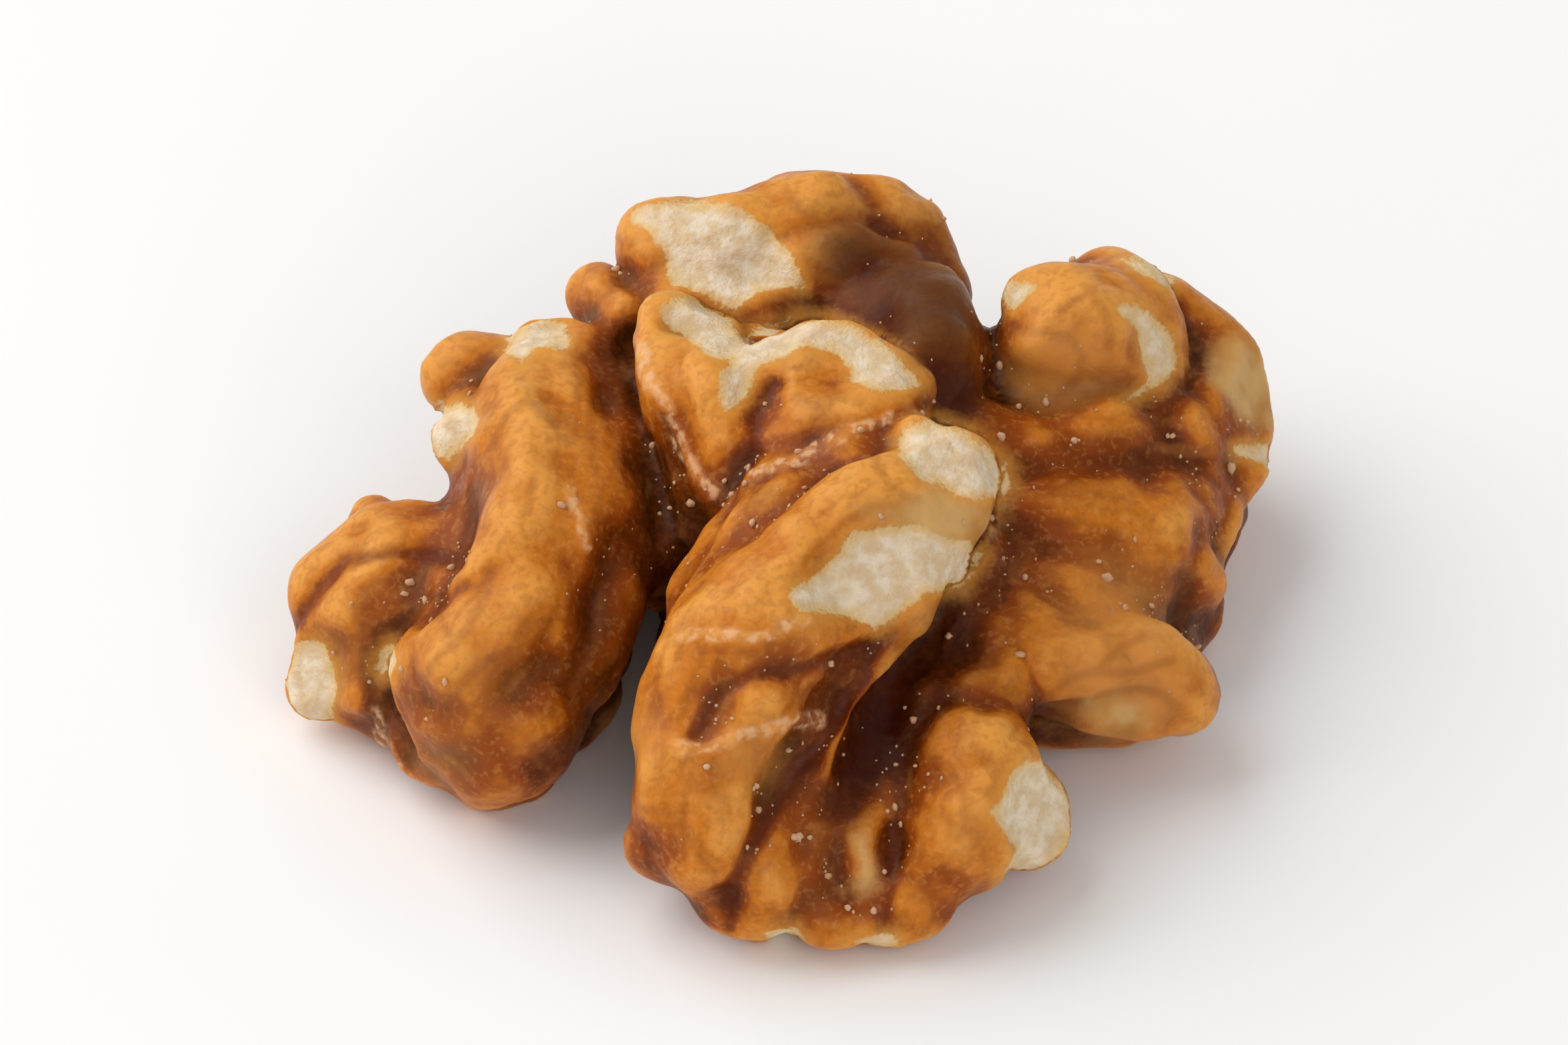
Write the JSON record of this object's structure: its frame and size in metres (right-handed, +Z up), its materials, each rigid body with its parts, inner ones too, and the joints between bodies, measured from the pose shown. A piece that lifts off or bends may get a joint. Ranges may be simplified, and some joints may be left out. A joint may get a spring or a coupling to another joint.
{
  "type": "walnut kernel half",
  "caption": "Half of a shelled walnut kernel with deep rounded folds and broken spots, lying on its inner face.",
  "frame": {"origin": "on the surface that the kernel rests on, under the middle of its box", "axes": "+X along the kernel's longest side, to the right in the picture; +Y from its front to its back; +Z up, out of its rounded outer side"},
  "size_m": [0.0309, 0.0282, 0.0117],
  "materials": {
    "walnut_skin": "satin amber skin over cream flesh"
  },
  "bodies": {
    "root": {"walnut_kernel": "walnut_skin"}
  },
  "joints": []
}
